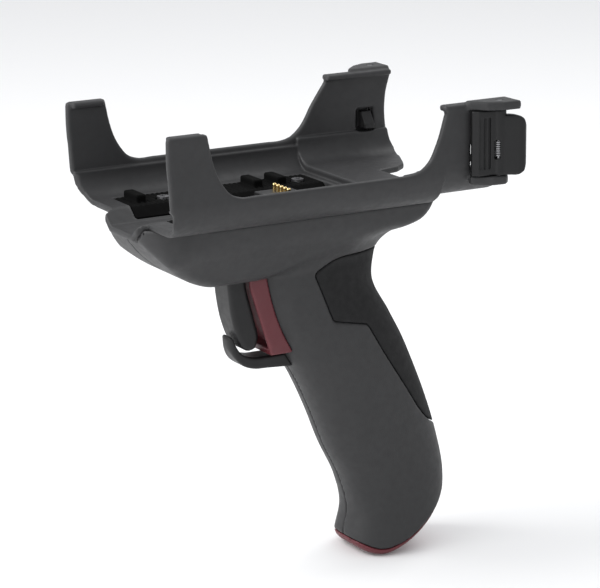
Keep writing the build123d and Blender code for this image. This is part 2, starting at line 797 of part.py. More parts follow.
with BuildPart() as handle_inserts:
    for y, z, seat in handle_screws_at:
        with BuildSketch(Plane.YZ.offset(0.3)):
            with Locations((y, z)):
                Circle(insert_radius)
                Circle(insert_bore, mode=Mode.SUBTRACT)
        extrude(amount=insert_length)
finish("handle_inserts", handle_inserts.part)

# ---- Latches --------------------------------------------------------------------------------

lever_bottom_z = ear_bottom_z + ear_thickness + 0.3
lever_top_z = ear_top_z - ear_thickness - 0.3
pad_top_z = 109.8
spring_gap = (93.8, 100.6)


def latch_lever(side):
    """Latch lever: a ribbed plate with the nose, a knuckle on the pin, and a flared finger pad."""
    inner_face = cradle_half_width + 0.5
    outer_face = latch_pivot_x + 1.2
    plate = [
        (inner_face, 22.2),
        (inner_face + 1.6, 21.8),
        (outer_face - 0.8, 23.6),
        (outer_face, 30.0),
        (outer_face, 32.4),
        (latch_pivot_x, 34.6),
        (inner_face + 0.8, 34.2),
        (inner_face, 31.0),
    ]
    pad = [
        (latch_pivot_x + 0.6, 32.4),
        (latch_pivot_x + 2.4, 32.2),
        (50.4, 37.4),
        (50.9, 39.4),
        (50.0, 40.6),
        (48.4, 40.2),
        (43.4, 34.4),
    ]
    with BuildPart() as lever:
        for outline, top_z in ((plate, lever_top_z), (pad, pad_top_z)):
            with BuildSketch(Plane.XY.offset(lever_bottom_z)):
                with BuildLine():
                    Polyline(*[(side * x, y) for x, y in outline], close=True)
                make_face()
            extrude(amount=top_z - lever_bottom_z)
        # Knuckle round the pin.
        with Locations((side * latch_pivot_x, latch_pivot_y, lever_bottom_z)):
            Cylinder(
                knuckle_radius,
                lever_top_z - lever_bottom_z,
                align=(Align.CENTER, Align.CENTER, Align.MIN),
            )
        # Grooves between the plate's ribs.
        for index in range(3):
            groove_y = 24.4 + 1.8 * index
            with Locations((side * (outer_face + 0.2), groove_y, (lever_bottom_z + lever_top_z) / 2)):
                Box(2.4, 0.8, lever_top_z - lever_bottom_z - 5, mode=Mode.SUBTRACT)
        # Nose that passes through the panel's window and holds the device down.
        nose_tip_x = cradle_half_width - cradle_wall - nose_reach
        with BuildSketch(Plane.XZ.offset(-nose_front_y)):
            with BuildLine():
                Polyline(
                    (side * (inner_face + 0.6), nose_z - 3.2),
                    (side * nose_tip_x, nose_z - 3.2),
                    (side * nose_tip_x, nose_z - 1.2),
                    (side * (nose_tip_x + 2.8), nose_z + 3.2),
                    (side * (inner_face + 0.6), nose_z + 3.2),
                    close=True,
                )
            make_face()
        extrude(amount=nose_front_y - nose_rear_y)
        with Locations((side * latch_pivot_x, latch_pivot_y, 100)):
            Cylinder(latch_pin_radius + running_clearance, 40, mode=Mode.SUBTRACT)
        # Gap in the knuckle for the spring.
        with Locations((side * (latch_pivot_x - 0.45), latch_pivot_y, sum(spring_gap) / 2)):
            Box(5.5, 5.0, spring_gap[1] - spring_gap[0], mode=Mode.SUBTRACT)
    return lever.part


for side, name in ((1, "right"), (-1, "left")):
    finish(f"{name}_latch_lever", latch_lever(side))
    with BuildPart() as latch_pin:
        with Locations((side * latch_pivot_x, latch_pivot_y, (ear_bottom_z + ear_top_z) / 2)):
            Cylinder(latch_pin_radius, ear_top_z - ear_bottom_z - 0.4)
    finish(f"{name}_latch_pin", latch_pin.part)
    with BuildPart() as latch_spring:
        with BuildLine(Plane((side * latch_pivot_x, latch_pivot_y, spring_gap[0] + 0.6))) as coil:
            Helix(pitch=0.8, height=5.6, radius=1.8)
        with BuildSketch(Plane(coil.line @ 0, z_dir=coil.line % 0)):
            Circle(0.28)
        sweep(path=coil.line, is_frenet=True)
    finish(f"{name}_latch_spring", latch_spring.part)

for name, part in created.items():
    print(name, part.is_valid, len(part.solids()), round(part.volume))
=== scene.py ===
"""Looks of a pistol-grip scan handle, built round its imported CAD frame.

Big mouldings are signed distance fields, in millimetres in the CAD's frame, turned into meshes:
a field is negative inside a piece, and its zero level is the skin.
"""

import json
import math

import bpy
import numpy as np
from mathutils import Matrix, Vector


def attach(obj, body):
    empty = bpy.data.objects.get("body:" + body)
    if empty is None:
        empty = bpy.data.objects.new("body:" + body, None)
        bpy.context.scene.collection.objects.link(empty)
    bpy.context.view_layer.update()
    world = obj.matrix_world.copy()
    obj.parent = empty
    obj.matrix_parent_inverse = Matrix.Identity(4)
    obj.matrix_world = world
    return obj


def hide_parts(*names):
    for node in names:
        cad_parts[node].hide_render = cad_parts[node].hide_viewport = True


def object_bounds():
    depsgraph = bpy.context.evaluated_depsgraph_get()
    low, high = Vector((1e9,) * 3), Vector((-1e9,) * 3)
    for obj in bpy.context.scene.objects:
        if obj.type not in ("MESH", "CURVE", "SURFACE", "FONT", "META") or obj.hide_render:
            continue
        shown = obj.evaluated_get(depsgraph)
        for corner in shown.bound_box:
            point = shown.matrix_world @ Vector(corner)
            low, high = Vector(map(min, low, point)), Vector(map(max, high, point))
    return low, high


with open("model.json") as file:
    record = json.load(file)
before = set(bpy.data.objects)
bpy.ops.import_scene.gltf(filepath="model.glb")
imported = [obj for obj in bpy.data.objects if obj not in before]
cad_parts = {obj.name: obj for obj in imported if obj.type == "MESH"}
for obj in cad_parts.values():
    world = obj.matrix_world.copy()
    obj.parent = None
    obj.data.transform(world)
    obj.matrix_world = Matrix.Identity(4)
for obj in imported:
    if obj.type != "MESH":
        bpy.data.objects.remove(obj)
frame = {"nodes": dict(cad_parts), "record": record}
cad_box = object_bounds()
MM = 0.001

# ---- Camera, light and floor ----------------------------------------------------------------

scene = bpy.context.scene


def turned(azimuth, elevation, roll=0.0):
    """Axes of something that looks back along this direction: its right, its up, and its back."""
    azimuth, elevation, roll = (math.radians(a) for a in (azimuth, elevation, roll))
    back = Vector((
        math.sin(azimuth) * math.cos(elevation),
        -math.cos(azimuth) * math.cos(elevation),
        math.sin(elevation),
    ))
    level = Vector((math.cos(azimuth), math.sin(azimuth), 0))
    above = back.cross(level)
    right = level * math.cos(roll) + above * math.sin(roll)
    up = above * math.cos(roll) - level * math.sin(roll)
    return Matrix((right, up, back)).transposed()


def placed(thing, aim, distance, *angles):
    """Put a camera or light this far from aim, looking at it."""
    axes = turned(*angles)
    thing.matrix_world = Matrix.Translation(Vector(aim) + axes.col[2] * distance) @ axes.to_4x4()
    scene.collection.objects.link(thing)
    return thing


AIM = (-0.00348, -0.02281, 0.04034)
camera = bpy.data.objects.new("camera", bpy.data.cameras.new("camera"))
camera.data.sensor_width = 36
camera.data.lens = 156
placed(camera, AIM, 0.9598, 60.38, 14.59, -0.58)
scene.camera = camera
scene.view_settings.view_transform = "Standard"


def softbox(name, power, size, distance, azimuth, elevation):
    """A square area light that looks at the object."""
    light = bpy.data.lights.new(name, "AREA")
    light.energy = power
    light.size = size
    return placed(bpy.data.objects.new(name, light), AIM, distance, azimuth, elevation)


softbox("key", 9.0, 0.6, 1.2, -20, 48)
softbox("front_fill", 4.5, 0.8, 1.3, 5, 18)
softbox("rim", 3.0, 0.5, 1.2, 200, 50)

world = bpy.data.worlds.new("studio")
world.use_nodes = True
world.node_tree.nodes["Background"].inputs["Color"].default_value = (0.97, 0.98, 1.0, 1)
world.node_tree.nodes["Background"].inputs["Strength"].default_value = 0.8
scene.world = world

# ---- Signed distance fields -----------------------------------------------------------------


def common(a, b, radius=0.0):
    """Where two fields overlap; the edge between them is rounded."""
    if np.ndim(radius) == 0 and radius <= 0:
        return np.maximum(a, b)
    corner = np.hypot(np.maximum(a + radius, 0), np.maximum(b + radius, 0))
    return np.minimum(np.maximum(a, b), -radius) + corner


def joined(a, b, radius=0.0):
    """Two fields together; the corner between them is filleted."""
    return -common(-a, -b, radius)


def without(a, b, radius=0.0):
    """The first field with the second cut out of it."""
    return common(a, -b, radius)


def polygon(points, u, v):
    """Distance to a closed outline in a plane."""
    points = np.asarray(points, float)
    nearest = np.full(np.broadcast(u, v).shape, np.inf)
    inside = np.zeros(nearest.shape, bool)
    for (u0, v0), (u1, v1) in zip(points, np.roll(points, -1, axis=0)):
        du, dv = u1 - u0, v1 - v0
        if du == dv == 0:
            continue
        share = np.clip(((u - u0) * du + (v - v0) * dv) / (du * du + dv * dv), 0, 1)
        nearest = np.minimum(nearest, (u - u0 - share * du) ** 2 + (v - v0 - share * dv) ** 2)
        if dv:
            inside ^= ((v0 > v) != (v1 > v)) & (u < (v - v0) / dv * du + u0)
    return np.where(inside, -1.0, 1.0) * np.sqrt(nearest)


def block(x, y, z, middle, size, radius=0.0):
    """Distance to a box with rounded edges."""
    gaps = [np.abs(p - m) - s / 2 for p, m, s in zip((x, y, z), middle, size)]
    return common(common(gaps[0], gaps[1], radius), gaps[2], radius)


def smooth_line(knots, values):
    """A function through the values at the knots, without a crease."""
    knots, values = np.asarray(knots, float), np.asarray(values, float)
    slopes = np.gradient(values, knots)

    def line(at):
        at = np.clip(at, knots[0], knots[-1])
        i = np.clip(np.searchsorted(knots, at) - 1, 0, len(knots) - 2)
        span = knots[i + 1] - knots[i]
        t = (at - knots[i]) / span
        start = (1 + 2 * t) * (1 - t) ** 2 * values[i] + t * (1 - t) ** 2 * span * slopes[i]
        end = t * t * (3 - 2 * t) * values[i + 1] + t * t * (t - 1) * span * slopes[i + 1]
        return start + end

    return line


def curved(*points, steps=6):
    """Points along a smooth curve through the given ones."""
    points = np.asarray(points, float)
    length = np.cumsum(np.r_[0, np.linalg.norm(np.diff(points, axis=0), axis=1)])
    at = np.linspace(0, length[-1], steps * (len(points) - 1) + 1)
    return [tuple(p) for p in np.stack([smooth_line(length, points[:, i])(at) for i in (0, 1)], 1)]


def skin(name, field, low, high, step):
    """A mesh object of the field's zero level: one vertex in each cell it crosses, pulled onto it."""
    axes = [np.arange(a - 1.5 * step, b + 2.5 * step, step) for a, b in zip(low, high)]
    shape = tuple(len(a) for a in axes)
    value = np.broadcast_to(field(*np.meshgrid(*axes, indexing="ij", sparse=True)), shape)
    cells = tuple(n - 1 for n in shape)
    place, hits = np.zeros(cells + (3,)), np.zeros(cells)
    quads = []
    crossings = []
    for a in range(3):
        b, c = (a + 1) % 3, (a + 2) % 3
        first = value[tuple(slice(0, -1) if i == a else slice(None) for i in range(3))]
        second = value[tuple(slice(1, None) if i == a else slice(None) for i in range(3))]
        cut = (first < 0) != (second < 0)
        share = np.where(cut, first / np.where(cut, first - second, 1), 0)
        crossings.append((a, b, c, cut, first < 0))
        for shift_b in (0, 1):
            for shift_c in (0, 1):
                part = [slice(None)] * 3
                part[b] = slice(shift_b, shift_b + cells[b])
                part[c] = slice(shift_c, shift_c + cells[c])
                hit = cut[tuple(part)]
                hits += hit
                place[..., a] += share[tuple(part)]
                place[..., b] += hit * shift_b
                place[..., c] += hit * shift_c
    used = hits > 0
    index = np.full(cells, -1)
    index[used] = np.arange(used.sum())
    corner = np.argwhere(used)
    points = (place[used] / hits[used][:, None] + corner) * step + [a[0] for a in axes]
    for a, b, c, cut, inside in crossings:
        inner = [slice(None)] * 3
        inner[b] = slice(1, shape[b] - 1)
        inner[c] = slice(1, shape[c] - 1)
        at = np.argwhere(cut[tuple(inner)])
        at[:, b] += 1
        at[:, c] += 1
        ring = []
        for back_b, back_c in ((1, 1), (0, 1), (0, 0), (1, 0)):
            cell = at.copy()
            cell[:, b] -= back_b
            cell[:, c] -= back_c
            ring.append(index[tuple(cell.T)])
        ring = np.stack(ring, 1)
        outward = inside[tuple(at.T)]
        quads.append(np.where(outward[:, None], ring, ring[:, ::-1]))
    reach = step / 20
    for _ in range(4):
        x, y, z = points.T
        here = field(x, y, z)
        slope = np.stack([
            field(x + reach * (i == 0), y + reach * (i == 1), z + reach * (i == 2))
            - field(x - reach * (i == 0), y - reach * (i == 1), z - reach * (i == 2))
            for i in range(3)
        ], 1) / (2 * reach)
        move = -here[:, None] * slope / np.maximum((slope ** 2).sum(1), 0.05)[:, None]
        far = np.linalg.norm(move, axis=1)
        points = points + move * np.minimum(1, 0.4 * step / np.maximum(far, 1e-9))[:, None]
    mesh = bpy.data.meshes.new(name)
    mesh.from_pydata((points * MM).tolist(), [], np.concatenate(quads).tolist())
    mesh.validate()
    mesh.polygons.foreach_set("use_smooth", np.ones(len(mesh.polygons), bool))
    mesh.update()
    made = bpy.data.objects.new(name, mesh)
    scene.collection.objects.link(made)
    print("made", name, len(mesh.polygons))
    return made


# ---- Materials ------------------------------------------------------------------------------


def material(name, colour, roughness, grain, grain_size, mottle=0.06, metallic=0.0, brushed=False,
             wear=0.0, shine=0.5):
    """A moulded or metal finish: mottled colour, fine grain in the surface, and lighter rubbed edges."""
    made = bpy.data.materials.new(name)
    made.use_nodes = True
    nodes, links = made.node_tree.nodes, made.node_tree.links
    shader = nodes["Principled BSDF"]
    shader.inputs["Metallic"].default_value = metallic
    shader.inputs["Specular IOR Level"].default_value = shine
    place = nodes.new("ShaderNodeTexCoord")
    stretch = nodes.new("ShaderNodeMapping")
    stretch.inputs["Scale"].default_value = (1, 1, 12) if brushed else (1, 1, 1)
    links.new(place.outputs["Object"], stretch.inputs["Vector"])

    def noise(size_mm, detail):
        node = nodes.new("ShaderNodeTexNoise")
        node.inputs["Scale"].default_value = 1 / (size_mm * MM)
        node.inputs["Detail"].default_value = detail
        links.new(stretch.outputs["Vector"], node.inputs["Vector"])
        return node.outputs["Fac"]

    def ramp(value, low, high):
        node = nodes.new("ShaderNodeValToRGB")
        node.color_ramp.elements[0].position, node.color_ramp.elements[1].position = 0.3, 0.7
        node.color_ramp.elements[0].color = (*low, 1)
        node.color_ramp.elements[1].color = (*high, 1)
        links.new(value, node.inputs["Fac"])
        return node.outputs["Color"]

    dark = [c * (1 - mottle) for c in colour]
    light = [min(1, c * (1 + mottle)) for c in colour]
    base = ramp(noise(9, 4), dark, light)
    if wear:
        edge = nodes.new("ShaderNodeNewGeometry")
        rubbed = nodes.new("ShaderNodeMapRange")
        rubbed.inputs["From Min"].default_value = 0.515
        rubbed.inputs["From Max"].default_value = 0.60
        rubbed.inputs["To Max"].default_value = wear
        links.new(edge.outputs["Pointiness"], rubbed.inputs["Value"])
        blend = nodes.new("ShaderNodeMix")
        blend.data_type = "RGBA"
        links.new(rubbed.outputs["Result"], blend.inputs["Factor"])
        links.new(base, blend.inputs["A"])
        blend.inputs["B"].default_value = (*[min(1, c * 2.2 + 0.01) for c in colour], 1)
        base = blend.outputs["Result"]
    links.new(base, shader.inputs["Base Color"])
    rough = [max(0.05, roughness - 0.06)] * 3, [min(1, roughness + 0.06)] * 3
    links.new(ramp(noise(2.5, 3), *rough), shader.inputs["Roughness"])
    bump = nodes.new("ShaderNodeBump")
    bump.inputs["Strength"].default_value = grain
    bump.inputs["Distance"].default_value = 0.1 * MM
    links.new(noise(grain_size, 2), bump.inputs["Height"])
    links.new(bump.outputs["Normal"], shader.inputs["Normal"])
    return made


METAL = {"metallic": 1, "brushed": True}
finishes = {}
for slot, colour, roughness, grain, grain_size, more in (
    ("grey_plastic", (0.023, 0.023, 0.024), 0.56, 0.35, 0.35, {"wear": 0.25, "shine": 0.42}),
    ("dark_plastic", (0.010, 0.010, 0.0105), 0.45, 0.2, 0.25, {"wear": 0.2, "shine": 0.3}),
    ("red_plastic", (0.10, 0.012, 0.018), 0.5, 0.2, 0.3, {"wear": 0.1}),
    ("black_rubber", (0.010, 0.010, 0.0105), 0.78, 0.6, 0.5, {"shine": 0.3}),
    # seat_rubber: black rubber made darker and duller than black_rubber, partly as painted shade of the
    # seat's hollow
    ("seat_rubber", (0.003, 0.003, 0.003), 0.85, 0.5, 0.4, {"shine": 0.06}),
    ("steel", (0.34, 0.34, 0.35), 0.38, 0.15, 0.1, METAL),
    ("brass", (0.72, 0.55, 0.28), 0.35, 0.15, 0.1, METAL),
    ("gold", (0.83, 0.62, 0.28), 0.22, 0.05, 0.1, {"metallic": 1}),
    ("board", (0.015, 0.14, 0.06), 0.3, 0.1, 0.4, {"mottle": 0.12}),
    ("white_plastic", (0.72, 0.71, 0.67), 0.45, 0.15, 0.3, {}),
    ("sleeve", (0.02, 0.02, 0.02), 0.7, 0.7, 0.35, {}),
):
    finishes[slot] = material(slot, colour, roughness, grain, grain_size, **more)


def finished(piece, body, slot, *nodes):
    """Give a made piece its body, its finish, and the CAD nodes that it stands for."""
    piece.data.materials.append(finishes[slot])
    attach(piece, body)
    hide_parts(*nodes)
    return piece


for part in frame["record"]["subparts"]:
    node = frame["nodes"][part["node"]]
    node.data.materials.clear()
    node.data.materials.append(finishes[part["material_slot"]])

# ---- Handle: keel and grip ------------------------------------------------------------------

CREASE_Z = 76.9
WALL = 3.0
INSERT_DEPTH = 1.4
SEAM = 0.07
RECESS_GAP = 0.12
TRIGGER_PIN_RADIUS = 1.52
SHELL_INSERT_DEPTH = 5.6
PIVOT = (-54.0, 57.0)

HEIGHTS = (-70, -56, -45, -33, -18, -3, 12, 22, 32, 46, 57, 70)
grip_front = smooth_line(HEIGHTS, (-10, -8, -5.6, -8.4, -15.6, -21.6, -28.8, -35, -40.2, -44.6, -46.6, -47))
grip_rear = smooth_line(HEIGHTS, (34.4, 34.4, 34.2, 34.4, 31.3, 26.4, 20.4, 16, 10.6, 3.2, 4.4, 8))
grip_half_width = smooth_line(HEIGHTS, (16.4, 16, 15.4, 15, 15.2, 15.6, 15.8, 15.7, 15.6, 15.4, 15.4, 15.2))
keel_flare = smooth_line((49.4, 52.4, 61.9, 68.9, 76.9), (14.2, 15.6, 20.6, 25.4, 27.8))
keel_plan = smooth_line((-99, -95, -84, -68, -50, 0), (11, 15.8, 25, 31, 34, 34))
keel_side = curved((-98.4, 77.4), (-94.4, 70.8), (-87.4, 62.8), (-75, 54.6), (-69, 52.6), (-62, 52.4))
keel_side += curved((-50, 52.4), (-44, 53.2), (-30, 58), (-18, 62.4), (-8, 65.4), (-3, 66.4), (8.4, 67.6),
                    (13.2, 69.8), (16, 73.2), (17.6, 77.4))
keel_side += [(17.6, 90), (-98.4, 90)]
foot_side = curved((-10.4, -46), (-8.8, -54), (-3.4, -59.8), (2.4, -61.2), (9.9, -59.2), (24.7, -49.8),
                   (33, -42))
foot_side = [(-60, 80), (-60, -40)] + foot_side + [(60, -12), (60, 80)]


def grip(x, y, z):
    """The grip: egg-shaped level sections, cut off at the foot."""
    front, rear, half = grip_front(z), grip_rear(z), grip_half_width(z)
    deep = (rear - front) / 2
    round_ness = 2.5
    share = (np.abs(x / half) ** round_ness + np.abs((y - (front + rear) / 2) / deep) ** round_ness)
    body = (share ** (1 / round_ness) - 1) * np.minimum(half, deep)
    return common(body, polygon(foot_side, y, z), 2.5)


def keel(x, y, z):
    """The boat under the cradle."""
    flank = common(np.abs(x) - keel_flare(z), np.abs(x) - keel_plan(y), 3) * 0.9
    return common(polygon(keel_side, y, z), flank, 3.5)


def handle_outer(x, y, z):
    """Keel and grip run into each other, softly behind and tightly at the trigger."""
    softness = 1.0 + 10 * np.clip((y + 46) / 34, 0, 1)
    return common(joined(keel(x, y, z), grip(x, y, z), softness), z - CREASE_Z, 0.3)


palm_side = curved((40, -20), (23, -10.6), (10.7, 6), (3, 17.6), (-4, 29.2))
palm_side += [(-5.4, 30.6), (-18.6, 33.4), (-19.6, 34.2), (-26.6, 51), (-26.7, 52.2), (-26, 53.2)]
palm_side += curved((-20.4, 56.6), (-17, 57.6), (-8, 58), (16, 58))
palm_side += [(50, 40), (60, 0)]
sole_side = curved((-16, -50.6), (-6.8, -55.4), (2, -58.8), (9.9, -57.2), (24.7, -48.4), (42, -32))
sole_side += [(42, -80), (-16, -80)]
trough = [(-15.1, CREASE_Z + 0.2), (-9.3, 71.9), (9.3, 71.9), (15.1, CREASE_Z + 0.2)]
screws_at = [(-76.0, 65.0, 14.6), (-19.0, 20.0, 11.0), (14.0, -34.0, 11.0)]


def handle_shell(side):
    """One half of the handle: its wall, its bosses, and what is cut into it."""
    def field(x, y, z):
        outer = handle_outer(x, y, z)
        wall = without(outer, common(outer + WALL, z - CREASE_Z - 4))
        from_pin = np.hypot(y - PIVOT[0], z - PIVOT[1])
        bosses = without(from_pin - 3.5, np.abs(x) - 7.6)
        for at_y, at_z, _ in screws_at:
            bosses = joined(bosses, np.hypot(y - at_y, z - at_z) - 3.3)
        wall = joined(wall, common(bosses, outer + 0.5), 0.6)
        palm = common(polygon(palm_side, y, z) - RECESS_GAP, -(outer + INSERT_DEPTH))
        wall = without(wall, palm, 0.35)
        wall = without(wall, polygon(sole_side, y, z) - RECESS_GAP, 0.35)
        wall = without(wall, polygon(trough, x, z) + 0 * y)
        wall = without(wall, block(x, y, z, (0, -52.6, 52.4), (14.8, 18.8, 9), 1.0), 0.4)
        wall = without(wall, common(from_pin - TRIGGER_PIN_RADIUS, np.abs(x) - 11))
        for at_y, at_z, seat in screws_at:
            away = np.hypot(y - at_y, z - at_z)
            if side < 0:
                wall = without(wall, joined(away - 1.4, common(away - 2.7, x + seat)), 0.2)
            else:
                wall = without(wall, common(away - 2.0, x - SHELL_INSERT_DEPTH))
        return common(wall, SEAM - side * x, 0.2)
    low, high = ((SEAM, -99, -64), (30, 36, 77)) if side > 0 else ((-30, -99, -64), (-SEAM, 36, 77))
    return field, low, high


for side, name in ((1, "right_handle_shell"), (-1, "left_handle_shell")):
    field, low, high = handle_shell(side)
    finished(skin(name + "_skin", field, low, high, 0.8), "handle", "grey_plastic", name)


def palm_insert(x, y, z):
    """The rubber that lies in the shells' recess, a little crowned at its border."""
    outer = handle_outer(x, y, z)
    region = polygon(palm_side, y, z) + RECESS_GAP
    return common(common(outer, region, 0.6), -(outer + INSERT_DEPTH))


def base_cap(x, y, z):
    """The red foot."""
    return common(handle_outer(x, y, z), polygon(sole_side, y, z) + RECESS_GAP, 0.5)


for node, field, low, high, slot in (
    ("palm_insert", palm_insert, (-18, -28, -18), (18, 32, 60), "black_rubber"),
    ("base_cap", base_cap, (-17, -11, -64), (17, 36, -38), "red_plastic"),
):
    finished(skin(node + "_skin", field, low, high, 0.6), "handle", slot, node)

# ---- Trigger, surround and guard ------------------------------------------------------------

BLADE_HALF_WIDTH = 6.6
RIM_HALF_WIDTH = 9
HOLLOW_HALF_WIDTH = 7.4
GUARD_HALF_WIDTH = 4.8
TRIGGER_BORE = 1.55
FIT_GAP = 0.06
blade_side = curved((-57.9, 55), (-57.4, 46.6), (-55.6, 35.4), (-53.7, 29.6), (-52.2, 26.4))
blade_side += [(-51.5, 25.4), (-50.2, 24.6), (-49, 24.3), (-47.4, 24.6)]
blade_side += curved((-46.4, 25.2), (-45.4, 28), (-46.9, 36.2), (-50.2, 49), (-50.6, 55))
rim_side = [(-50.3, 52.4), (-50.1, 48.4), (-43.5, 27.6), (-41.8, 22.4), (-24, 22.4), (-30, 52.4)]
hollow_side = [(-46.4, 60), (-46, 48), (-42, 34), (-38.9, 26), (-60, 18), (-60, 60)]
guard_side = curved((-24, 22.4), (-41, 21.2), (-48, 21.7), (-51.6, 23.4), (-53.5, 26), (-54.6, 29.2))
guard_side += [(-55, 29.8), (-55.8, 30.1), (-56.5, 29.7)]
guard_side += curved((-56.8, 29), (-55.9, 25.2), (-54, 21.6), (-51.2, 18.8), (-47, 17.1), (-41, 16.6),
                     (-24, 15.4))


def trigger_blade(x, y, z):
    """The trigger: its finger blade, its knuckle on the pin and the tab behind."""
    half_width = BLADE_HALF_WIDTH - 0.03 * np.maximum(46 - z, 0)
    blade = common(polygon(blade_side, y, z), np.abs(x) - half_width, 1.9)
    from_pin = np.hypot(y - PIVOT[0], z - PIVOT[1])
    knuckle = common(from_pin - 3.6, np.abs(x) - BLADE_HALF_WIDTH, 0.4)
    tab = block(x, y, z, (0, -49.1, 54.8), (5, 7, 1.8), 0.3)
    whole = joined(joined(blade, knuckle, 0.8), tab, 0.4)
    whole = without(whole, block(x, y, z, (-5, PIVOT[0], PIVOT[1] + 2.6), (3.8, 10, 11.6)), 0.2)
    return without(whole, from_pin - TRIGGER_BORE)


def trigger_bezel(x, y, z):
    """The red surround: a rim at each side of the trigger, and the sunk face behind it."""
    rim = common(polygon(rim_side, y, z), np.abs(x) - RIM_HALF_WIDTH, 1.0)
    rim = without(rim, common(polygon(hollow_side, y, z), np.abs(x) - HOLLOW_HALF_WIDTH, 0.5), 0.4)
    return without(rim, handle_outer(x, y, z) - FIT_GAP)


def trigger_guard(x, y, z):
    """The guard: forward from the grip, then up in front of the trigger's tip."""
    plan = np.hypot(x, np.minimum(y + 52.1, 0)) - GUARD_HALF_WIDTH
    body = without(common(polygon(guard_side, y, z), plan, 1.1), handle_outer(x, y, z) - FIT_GAP)
    return without(body, common(polygon(rim_side, y, z), np.abs(x) - RIM_HALF_WIDTH, 1.0) - FIT_GAP)


for node, field, low, high, step, body, slot in (
    ("trigger_blade", trigger_blade, (-7, -59, 23), (7, -44, 61), 0.35, "trigger", "dark_plastic"),
    ("trigger_bezel", trigger_bezel, (-9.2, -51, 22), (9.2, -32, 53), 0.4, "handle", "red_plastic"),
    ("trigger_guard", trigger_guard, (-5, -57.5, 14.5), (5, -27, 31), 0.35, "handle", "dark_plastic"),
):
    finished(skin(node + "_skin", field, low, high, step), body, slot, node)

# ---- Cradle ---------------------------------------------------------------------------------

CORNER = 13.6
HALF_WIDTH = 41.2
INNER_X = HALF_WIDTH - 2.6
LOW_X = INNER_X - 1.2
SHELF_Z = 79.3
LEDGE_RISE = 9.2
ARM_TOP_Z = 114
LIP_HEIGHT = 2.2
EAR_THICKNESS = 3.2
EARS_Z = 84.4, 111.8
TROUGH_END_Y = -4
FLOOR_STEP_Y, KEEL_END_Y = 12, 17
STRIP_MIDDLE_Y, STRIP_HALF_LENGTH = -46.3, 39.65
LIFT = 2.7
arm_side = [(-97.3, 60)] + curved((-97.3, 88.8), (-97.8, 97), (-98.4, 106), (-98.35, 112.6))
arm_side += [(-98, 113.6), (-97, 114), (-84.4, 114), (-83.3, 113.6)]
arm_side += curved((-82.9, 112.4), (-81.6, 106), (-79.9, 100.4), (-77.2, 95.4), (-74.4, 92.2), (-70, 90.5),
                   (-64, 90.5))
right_front = curved((-10, 90.5), (-3, 90.5), (1.4, 91.2), (5.4, 94), (9, 100.4), (12.6, 111.2))
left_front = curved((-16, 90.5), (-10, 90.5), (-5.6, 91.6), (-2, 94.4), (3.9, 103.4), (9.6, 111.4))
panel_rear = [(37.4, 114)] + curved((38.6, 112.8), (36.2, 104), (35.8, 97), (37, 87), (38.4, 80))
panel_rear += [(38.4, 60)]
right_side = arm_side + right_front + [(11.9, 112.4), (12.2, 114)] + panel_rear
left_side = arm_side + left_front + [(8.9, 112.6), (9.2, 114)] + panel_rear
rear_edge = [(8.5, 15.2), (10.7, 24.3), (14.6, 29.2), (17.6, 30.9), (27.9, 35.8), (34.5, 37.4), (34.5, 60)]
rear_edge += [(-x, y) for x, y in reversed(rear_edge)]
trough_under = [(-15.1, 77.2), (-9.3, 72), (9.3, 72), (15.1, 77.2), (15.1, 79), (-15.1, 79)]
trough_open = [(-14.2, SHELF_Z), (-8.4, 74.4), (8.4, 74.4), (14.2, SHELF_Z), (14.2, 86), (-14.2, 86)]
front_edge = [(0, -97.2), (12.5, -97.2), (14.5, -93.4), (28, -93.2), (35, -94.2), (39, -96), (60, -98)]
front_edge += [(60, -120), (0, -120)]
pocket = [(29.25, 78.4), (14.53, 78.4), (10.18, 74.72), (9.2, 75.9), (13.6, 80), (29.25, 80)]
top_ear = [(39.6, 21), (41.8, 21), (46.8, 26), (49.2, 31), (49.6, 38.4), (39.6, 38)]
low_ear = [(39.6, 22.5), (41.8, 22.5), (46.8, 28.6), (47.2, 34), (45.4, 36), (39.6, 36.4)]
LATCH_PIN = (44.6, 32.4)
cradle_screws_at = [(20.0, -70.0), (20.0, -14.0)]


